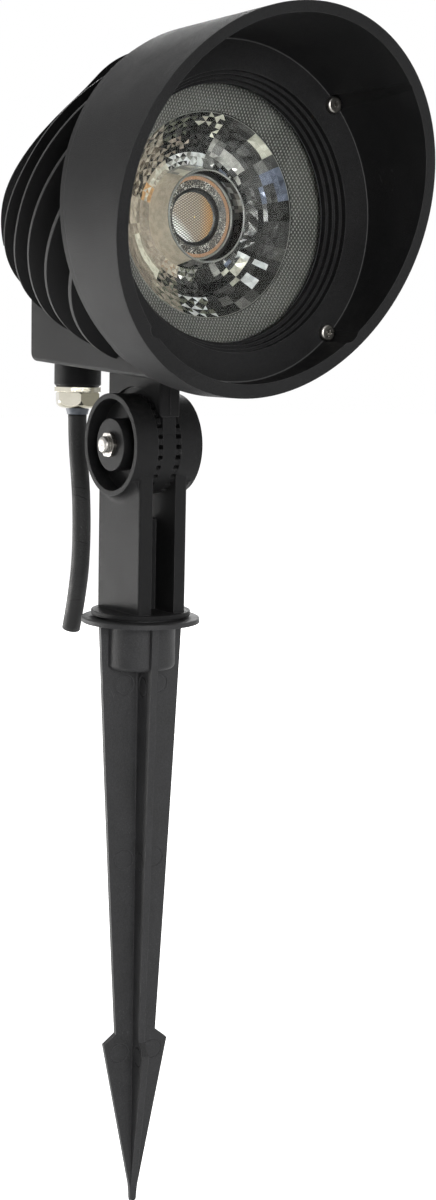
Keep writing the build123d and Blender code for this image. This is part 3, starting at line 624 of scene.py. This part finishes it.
greySilicone = {
    "colour": (0.28, 0.29, 0.3), "colour2": (0.23, 0.24, 0.25), "rough": 0.6, "rough2": 0.7,
    "grainMm": 0.4, "patchMm": 5.0, "bump": 0.2, "roundMm": 0.2,
}

bareAluminium = {
    "colour": (0.74, 0.74, 0.75), "colour2": (0.66, 0.66, 0.67),
    "rough": 0.32, "rough2": 0.42, "metallic": 1.0,
    "grainMm": 0.3, "patchMm": 10.0, "bump": 0.2, "roundMm": 0.2,
}

phosphorGel = {
    "colour": (0.82, 0.56, 0.10), "colour2": (0.88, 0.66, 0.2), "rough": 0.4, "rough2": 0.5,
    "grainMm": 0.3, "patchMm": 2.0, "bump": 0.2, "roundMm": 0.2,
}

circuitGreen = {
    "colour": (0.03, 0.16, 0.06), "colour2": (0.05, 0.2, 0.08), "rough": 0.35, "rough2": 0.45,
    "grainMm": 0.6, "patchMm": 4.0, "bump": 0.15, "roundMm": 0.2,
}

strands = {
    "colour": (0.75, 0.36, 0.2), "colour2": (0.6, 0.28, 0.15), "rough": 0.3, "rough2": 0.4, "metallic": 1.0,
    "grainMm": 0.25, "patchMm": 0.8, "bump": 0.6, "roundMm": 0.05,
}

glass = {
    "tint": (0.93, 0.96, 0.95), "ior": 1.16, "rough": 0.0, "rough2": 0.012, "grainMm": 1.5, "patchMm": 18.0,
}


coreLook = {"rough": 0.4, "rough2": 0.5, "grainMm": 0.3, "patchMm": 1.0, "bump": 0.1, "roundMm": 0.05}


def darker(colour):
    return tuple(c * effects["secondTone"] for c in colour)


def clearGlass():
    material, tree, shader = newMaterial("clearGlass")
    shader.inputs["Base Color"].default_value = (*glass["tint"], 1)
    shader.inputs["IOR"].default_value = glass["ior"]
    shader.inputs["Transmission Weight"].default_value = 1.0
    grain = placeGroup(tree, grainGroup, GrainMm=glass["grainMm"], PatchMm=glass["patchMm"])
    join(tree, mixValue(tree, grain.outputs["Patches"], glass["rough"], glass["rough2"]),
         shader.inputs["Roughness"])
    return material


finishes = {
    "cast_black": surface("powderCoat", coat),
    "spike_plastic": surface("spikePlastic", spikeSkin),
    "brass": surface("turnedBrass", brassMetal),
    "stainless": surface("stainlessSteel", steel),
    "washer_plastic": surface("blackPlastic", plainPlastic),
    "silicone": surface("greySilicone", greySilicone),
    "clear_glass": clearGlass(),
    "white_plastic": surface("whitePlastic", whitePlastic),
    "aluminium": surface("machinedAluminium", bareAluminium),
    "ceramic": surface("whiteCeramic", whitePlastic),
    "phosphor": surface("phosphorLayer", phosphorGel),
    "board_green": surface("circuitBoard", circuitGreen),
    "nickel": surface("nickelPlate", nickelPlate),
    "seal_rubber": surface("sealRubber", sealRubber),
    "cable_rubber": surface("sheathRubber", sheathRubber),
}
finishes["clear_optic"] = finishes["clear_glass"]

for part in frame["record"]["subparts"]:
    item = nodes[part["node"]]
    item.data.materials.clear()
    item.data.materials.append(finishes[part["material_slot"]])

cableSheath.data.materials.append(finishes["cable_rubber"])
for coreName, coreColour in cable["coreColours"].items():
    look = {**coreLook, "colour": coreColour, "colour2": darker(coreColour)}
    cableSheath.data.materials.append(surface(coreName, look))
cableSheath.data.materials.append(surface("copperStrands", strands))
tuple(cable["route"][0])
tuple(cable["route"][-1])
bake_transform(cableSheath)
print("finishes made")


# optic: knurled rim, faceted bowl, clear tube and the patterned lens over the light source

optic = {
    "axisZ": 0.1413,
    "rim": [(0.0452, -0.0404), (0.0452, -0.0424), (0.0420, -0.0422), (0.0336, -0.0391)],
    "bowlFront": (0.0333, -0.0389),
    "bowlFoot": (0.0172, -0.0286),
    "bowlCurve": 0.9,
    "bowlBands": 12,
    "innerBands": 3,
    "outerBands": 5,
    "tubeFront": (0.0152, -0.0376),
    "tubeFoot": (0.0172, -0.0286),
    "tubeWall": 0.0006,
    "tubeBands": 5,
    "sectors": 88,
    "innerRing": [(0.0143, -0.0316), (0.0140, -0.0321), (0.0136, -0.0321), (0.0133, -0.0316)],
    "warmRing": [(0.0133, -0.0312), (0.0122, -0.0310)],
    "sparkle": [(0.0122, -0.0310), (0.0109, -0.0306), (0.0096, -0.0304)],
    "well": [(0.0096, -0.0304), (0.0090, -0.0290), (0.0082, -0.0288)],
    "lens": [(0.0082, -0.0288), (0.0070, -0.0293), (0.0054, -0.0297), (0.0036, -0.0299), (0.0002, -0.0300)],
    "jitter": 0.0003,
    "seed": 8,
    "sides": 128,
    "mixed": 0.35,
    "tileLevel": (0.75, 1.15),
    "faceLevel": (0.75, 1.05),
    "tubeLevel": (0.85, 1.1),
    "brightest": 0.95,
    "warmOffset": 0.0004,
    "beads": {
        "bowlEdge": [(0.00015, 0.0003), (0, -0.0001), (-0.0001, -0.0002), (-0.0002, 0)],
        "tubeEdge": [(0.00015, 0.0003), (0, -0.0001), (-0.0003, -0.0002), (-0.0006, 0)],
    },
}

knurl = {
    "repeat": 0.0010, "turnDeg": 32, "peakRamp": (0.45, 0.95), "ground": (0.036, 0.035, 0.032),
    "ground2": (0.055, 0.053, 0.048), "peak": (0.23, 0.225, 0.21), "rough": 0.28, "specular": 0.2,
    "bump": 0.8, "bumpDepth": 0.0003, "grainMm": 0.8, "patchMm": 12.0,
}

facets = {
    "shade": 0.78, "bowlMetallic": 0.3, "tubeMetallic": 0.0, "specular": 0.25,
    "rough": 0.06, "rough2": 0.16, "grainMm": 0.35, "patchMm": 2.2,
}

sparkle = {
    "scale": 2300.0, "gapRamp": (0.12, 0.5), "litScale": 330.0, "litRamp": (0.45, 0.6),
    "ground": (0.3, 0.26, 0.21), "lit": (0.92, 0.88, 0.78), "gap": (0.05, 0.045, 0.04),
    "rough": 0.25, "bump": 0.7, "bumpDepth": 0.0002,
}

lensMesh = {
    "repeat": 0.00075, "turnDeg": 58, "lineRamp": (0.1, 0.85), "rightRamp": (0.001, 0.008),
    "lowHighlightRamp": (-0.0055, -0.0105), "ground": (0.42, 0.35, 0.28), "right": (0.72, 0.38, 0.14),
    "low": (0.9, 0.9, 0.88), "line": (0.09, 0.065, 0.05), "rough": 0.22, "bump": 0.5, "bumpDepth": 0.0002,
}

# plain rings: colour and roughness
ringTones = {
    "rimGlint": ((0.2, 0.195, 0.18), 0.14),
    "tubeFloor": ((0.05, 0.045, 0.04), 0.3),
    "warmRing": ((0.36, 0.19, 0.10), 0.25),
    "lensWell": ((0.012, 0.012, 0.012), 0.35),
    # painted highlight line on the edge of the bezel's ledge
    "ledgeHighlight": ((0.045, 0.045, 0.045), 0.4),
}

ringLook = {"grainMm": 0.4, "patchMm": 4.0, "bump": 0.05, "roundMm": 0.05}

# tones of the painted reflections and glints in the optic's faces
tones = {
    "black": (0.02, 0.019, 0.018), "dark": (0.045, 0.042, 0.039), "slate": (0.085, 0.081, 0.078),
    "grey": (0.18, 0.172, 0.162), "pale": (0.42, 0.4, 0.37), "white": (0.98, 0.97, 0.94),
    "blue": (0.15, 0.165, 0.22), "brown": (0.17, 0.135, 0.1), "beige": (0.42, 0.355, 0.29),
    "cream": (0.55, 0.48, 0.39), "copper": (0.38, 0.27, 0.19), "orange": (0.66, 0.38, 0.18),
    "olive": (0.2, 0.2, 0.15), "ivory": (0.78, 0.74, 0.62),
}

# painted reflections and glints of the clear optic, by first angle from +X in degrees: cells per tile, then
# the tones of the outer, middle and inner bands
facetReflectionZones = [
    (14, 2, ["grey", "dark", "slate", "blue"], ["dark", "slate", "dark", "black"], ["dark", "black"]),
    (34, 2, ["grey", "ivory", "dark", "slate"], ["pale", "slate", "dark"], ["dark", "blue", "black"]),
    (58, 2, ["pale", "dark", "slate", "dark"], ["grey", "pale", "dark"], ["dark", "dark", "grey"]),
    (78, 1, ["black", "dark", "ivory", "dark"], ["dark", "black", "slate"], ["white", "pale", "white"]),
    (100, 1, ["black", "olive", "slate"], ["black", "dark", "beige"], ["white", "pale", "dark"]),
    (122, 1, ["cream", "beige", "brown", "dark"], ["beige", "cream", "dark", "brown"], ["ivory", "cream"]),
    (150, 1, ["beige", "cream", "brown", "beige"], ["cream", "beige", "brown", "dark"], ["ivory", "orange"]),
    (168, 8, ["copper", "brown", "copper"], ["beige", "copper", "cream"], ["orange", "cream", "beige"]),
    (188, 8, ["beige", "cream", "beige"], ["cream", "beige", "ivory"], ["beige", "cream"]),
    (232, 1, ["beige", "olive", "cream"], ["olive", "dark", "beige"], ["beige", "cream", "copper"]),
    (252, 1, ["dark", "olive", "white", "dark"], ["dark", "black", "slate"], ["dark", "olive", "pale"]),
    (280, 2, ["slate", "dark", "white", "dark", "grey"], ["dark", "slate", "black"], ["dark", "pale"]),
    (302, 2, ["white", "dark", "slate", "dark"], ["ivory", "dark", "white", "slate", "dark"],
     ["dark", "blue", "slate"]),
    (330, 2, ["dark", "slate", "grey"], ["dark", "slate", "black"], ["dark", "dark"]),
    (350, 2, ["dark", "slate", "dark"], ["dark", "black", "dark"], ["dark", "black"]),
]

# the tube's tones, painted reflections and the colour seen through it, by first angle: one smooth side
# outside, pale bars inside on the other
tubeOutside = [(0, ["dark", "slate"]), (95, ["pale", "ivory"]), (125, ["cream"]), (250, ["grey", "dark"])]
tubeInside = [(0, ["pale", "dark", "grey"]), (12, ["pale", "white", "grey"]), (50, ["black", "dark"]),
              (110, ["brown", "dark"]), (150, ["brown"]), (250, ["dark", "black"]), (345, ["dark", "slate"])]


def polar(radius, angle, y):
    return Vector((radius * math.cos(angle), y, optic["axisZ"] + radius * math.sin(angle)))


def meshPiece(name, bm, material, smooth=False):
    bmesh.ops.recalc_face_normals(bm, faces=bm.faces)
    mesh = bpy.data.meshes.new(name)
    bm.to_mesh(mesh)
    bm.free()
    for face in mesh.polygons:
        face.use_smooth = smooth
    piece = bpy.data.objects.new(name, mesh)
    bpy.context.collection.objects.link(piece)
    mesh.materials.append(material)
    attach(piece, "head")
    return piece


def turnedPiece(name, profile, material, smooth=True):
    bm = bmesh.new()
    turns = [2 * math.pi * k / optic["sides"] for k in range(optic["sides"])]
    rings = [[bm.verts.new(polar(radius, turn, y)) for turn in turns] for radius, y in profile]
    for a, b in zip(rings, rings[1:]):
        bridge(bm, a, b)
    return meshPiece(name, bm, material, smooth)


def crossedWaves(tree, parts, repeat, turnDeg):
    waves = []
    for turn in (math.radians(turnDeg), math.radians(-turnDeg)):
        across = math2(tree, "ADD", math2(tree, "MULTIPLY", parts["X"], math.cos(turn) * math.pi / repeat),
                       math2(tree, "MULTIPLY", parts["Z"], math.sin(turn) * math.pi / repeat))
        waves.append(math2(tree, "ABSOLUTE", math2(tree, "SINE", across)))
    return waves


def bumpFrom(tree, height, look, shader):
    bump = put(tree, "ShaderNodeBump", Strength=look["bump"], Distance=look["bumpDepth"])
    join(tree, height, bump.inputs["Height"])
    join(tree, bump.outputs["Normal"], shader.inputs["Normal"])


def knurlMaterial():
    # grey clear plastic seen against its seat, with a fine crossed knurl
    material, tree, shader = newMaterial("knurledRim")
    waves = crossedWaves(tree, separated(tree, objectPlace(tree)), knurl["repeat"], knurl["turnDeg"])
    height = math2(tree, "MULTIPLY", *waves)
    peaks = ramp(tree, height, *knurl["peakRamp"])
    grain = placeGroup(tree, grainGroup, GrainMm=knurl["grainMm"], PatchMm=knurl["patchMm"])
    ground = mixColour(tree, grain.outputs["Patches"], knurl["ground"], knurl["ground2"])
    join(tree, mixColour(tree, peaks, ground, knurl["peak"]), shader.inputs["Base Color"])
    shader.inputs["Specular IOR Level"].default_value = knurl["specular"]
    shader.inputs["Roughness"].default_value = knurl["rough"]
    bumpFrom(tree, height, knurl, shader)
    return material


def facetMaterial(name, metallic):
    # clear plastic that throws back its surroundings, with painted reflections and glints as a tone on each
    # face
    material, tree, shader = newMaterial(name)
    tone = put(tree, "ShaderNodeAttribute", attribute_name="facetReflectionTone").outputs["Color"]
    grain = placeGroup(tree, grainGroup, GrainMm=facets["grainMm"], PatchMm=facets["patchMm"])
    patches = grain.outputs["Patches"]
    shade = put(tree, "ShaderNodeHueSaturation", Value=facets["shade"])
    join(tree, tone, shade.inputs["Color"])
    join(tree, mixColour(tree, patches, shade.outputs["Color"], tone), shader.inputs["Base Color"])
    shader.inputs["Metallic"].default_value = metallic
    shader.inputs["Specular IOR Level"].default_value = facets["specular"]
    join(tree, mixValue(tree, patches, facets["rough"], facets["rough2"]), shader.inputs["Roughness"])
    return material


def sparkleMaterial():
    # fine knurl that glitters over a beige ground
    material, tree, shader = newMaterial("sparkleRing")
    where = objectPlace(tree)
    cells = put(tree, "ShaderNodeTexVoronoi", Scale=sparkle["scale"])
    join(tree, where, cells.inputs["Vector"])
    gaps = ramp(tree, cells.outputs["Distance"], *sparkle["gapRamp"])
    lit = ramp(tree, noiseOn(tree, where, sparkle["litScale"], detail=2.0, rough=0.5), *sparkle["litRamp"])
    ground = mixColour(tree, lit, sparkle["ground"], sparkle["lit"])
    join(tree, mixColour(tree, gaps, ground, sparkle["gap"]), shader.inputs["Base Color"])
    shader.inputs["Roughness"].default_value = sparkle["rough"]
    bumpFrom(tree, cells.outputs["Distance"], sparkle, shader)
    return material


def lensMaterial():
    # fine crossed mesh, beige, orange to one side, with a painted white highlight low on the other
    material, tree, shader = newMaterial("lensMesh")
    parts = separated(tree, objectPlace(tree))
    height = math2(tree, "MINIMUM", *crossedWaves(tree, parts, lensMesh["repeat"], lensMesh["turnDeg"]))
    lines = ramp(tree, height, *lensMesh["lineRamp"])
    right = ramp(tree, parts["X"], *lensMesh["rightRamp"])
    ground = mixColour(tree, right, lensMesh["ground"], lensMesh["right"])
    # painted white highlight, low towards -X
    rise = math2(tree, "SUBTRACT", parts["Z"], optic["axisZ"])
    low = ramp(tree, math2(tree, "ADD", parts["X"], rise), *lensMesh["lowHighlightRamp"])
    ground = mixColour(tree, low, ground, lensMesh["low"])
    join(tree, mixColour(tree, lines, lensMesh["line"], ground), shader.inputs["Base Color"])
    shader.inputs["Roughness"].default_value = lensMesh["rough"]
    bumpFrom(tree, height, lensMesh, shader)
    return material


def plainTone(name):
    colour, rough = ringTones[name]
    rough2 = rough + effects["secondRough"]
    return surface(name, {
        **ringLook, "colour": colour, "colour2": darker(colour), "rough": rough, "rough2": rough2})


def zoneAt(table, angle):
    # the last row that starts before the angle, which comes round to the table's end
    return ([row for row in table if angle >= row[0]] or table[-1:])[-1]


def tonedRings(name, profile, pick, material, split=False, jitter=0.0):
    # rings of flat faces, each with the tone that pick gives for its band and cell
    rng = random.Random(optic["seed"])
    count = optic["sectors"]
    bm = bmesh.new()
    layer = bm.faces.layers.float_vector.new("facetReflectionTone")
    rings = []
    for i, (radius, y) in enumerate(profile):
        ring = []
        for k in range(count):
            shift = 0.0 if i in (0, len(profile) - 1) else rng.uniform(-jitter, jitter)
            ring.append(bm.verts.new(polar(radius, 2 * math.pi * k / count, y + shift)))
        rings.append(ring)
    for i, (a, b) in enumerate(zip(rings, rings[1:])):
        for k in range(count):
            n = (k + 1) % count
            corners = [(a[k], a[n], b[n], b[k])]
            if split and (i + k) % 2:
                corners = [(a[k], a[n], b[k]), (a[n], b[n], b[k])]
            elif split:
                corners = [(a[k], a[n], b[n]), (a[k], b[n], b[k])]
            for half, places in enumerate(corners):
                bm.faces.new(places)[layer] = pick(i, k, half)
    return meshPiece(name, bm, material)


def addFacetBowl(material):
    bands = optic["bowlBands"]
    (frontR, frontY), (footR, footY) = optic["bowlFront"], optic["bowlFoot"]
    profile = []
    for i in range(bands + 1):
        share = i / bands
        profile.append((frontR + (footR - frontR) * share,
                        frontY + (footY - frontY) * math.sin(share * math.pi / 2) ** optic["bowlCurve"]))
    rng = random.Random(optic["seed"])
    chosen = {}

    def pick(band, cell, half):
        angle = 360 * (cell + 0.5) / optic["sectors"]
        zone = zoneAt(facetReflectionZones, angle)
        width = zone[1]
        row = 0 if band < optic["outerBands"] else 1 if band < bands - optic["innerBands"] else 2
        palette = zone[2 + row]
        tile = (band, cell, half) if width == 1 else (row, band // 2, cell // width, zone[0])
        if tile not in chosen:
            regular = width == 1 and rng.random() > optic["mixed"]
            tone = tones[palette[(2 * half + band) % len(palette)] if regular else rng.choice(palette)]
            level = rng.uniform(*optic["tileLevel"])
            chosen[tile] = tuple(min(optic["brightest"], c * level) for c in tone)
        return Vector(chosen[tile]) * rng.uniform(*optic["faceLevel"])

    return tonedRings("facetBowl", profile, pick, material, split=True, jitter=optic["jitter"])


def addTube(name, inset, table, material):
    (frontR, frontY), (footR, footY) = optic["tubeFront"], optic["tubeFoot"]
    bands = optic["tubeBands"]
    profile = [(frontR + (footR - frontR) * i / bands - inset, frontY + (footY - frontY) * i / bands)
               for i in range(bands + 1)]
    rng = random.Random(optic["seed"] + 1)
    chosen = {}

    def pick(band, cell, half):
        row = zoneAt(table, 360 * (cell + 0.5) / optic["sectors"])
        tile = row[0] if len(row[1]) == 1 else (band // 2, cell // 2, row[0])
        if tile not in chosen:
            level = rng.uniform(*optic["tubeLevel"])
            chosen[tile] = tuple(min(optic["brightest"], c * level) for c in tones[rng.choice(row[1])])
        return Vector(chosen[tile])

    return tonedRings(name, profile, pick, material)


def addOptic():
    bowlTone = facetMaterial("facetMirror", facets["bowlMetallic"])
    wallTone = facetMaterial("tubeWall", facets["tubeMetallic"])
    glint = plainTone("rimGlint")
    turnedPiece("knurledRim", optic["rim"], knurlMaterial())
    bowl = addFacetBowl(bowlTone)
    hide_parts("optic")
    addTube("tubeOutside", 0.0, tubeOutside, wallTone)
    addTube("tubeInside", optic["tubeWall"], tubeInside, wallTone)
    for name, (radius, y) in (("bowlEdge", optic["bowlFront"]), ("tubeEdge", optic["tubeFront"])):
        bead = [(radius + out, y + back) for out, back in optic["beads"][name]]
        turnedPiece(name, bead, glint)
    footRadius, footY = optic["tubeFoot"]
    foot = [(footRadius - optic["tubeWall"], footY - optic["warmOffset"]), optic["warmRing"][0]]
    turnedPiece("tubeFloor", foot, plainTone("tubeFloor"))
    turnedPiece("innerRing", optic["innerRing"], glint)
    turnedPiece("warmRing", optic["warmRing"], plainTone("warmRing"))
    turnedPiece("sparkleRing", optic["sparkle"], sparkleMaterial())
    turnedPiece("lensWell", optic["well"], plainTone("lensWell"))
    turnedPiece("lensDisc", optic["lens"], lensMaterial())


addOptic()
print("optic built")

# trim that the solids leave out: the parting line down the neck, and a painted highlight line on the fine
# edge of the bezel's ledge

trim = {
    "lineX": (-0.00018, 0.00018),
    "lineY": (-0.01775, -0.01755),
    "lineZ": (0.0748, 0.0925),
    "ledgeRadii": (0.0539, 0.0542),
    "ledgeY": -0.05563,
    "ledgeRise": 0.00002,
}


def addTrim():
    bm = bmesh.new()
    bmesh.ops.create_cube(bm, size=1.0)
    spans = [trim[k] for k in ("lineX", "lineY", "lineZ")]
    for vert in bm.verts:
        vert.co = Vector([low + (high - low) * (c + 0.5) for c, (low, high) in zip(vert.co, spans)])
    meshPiece("partingLine", bm, finishes["cast_black"])
    (inner, outer), y = trim["ledgeRadii"], trim["ledgeY"]
    ledge = [(inner, y + trim["ledgeRise"]), (inner, y), (outer, y)]
    turnedPiece("ledgeEdge", ledge, plainTone("ledgeHighlight"), smooth=False)


addTrim()
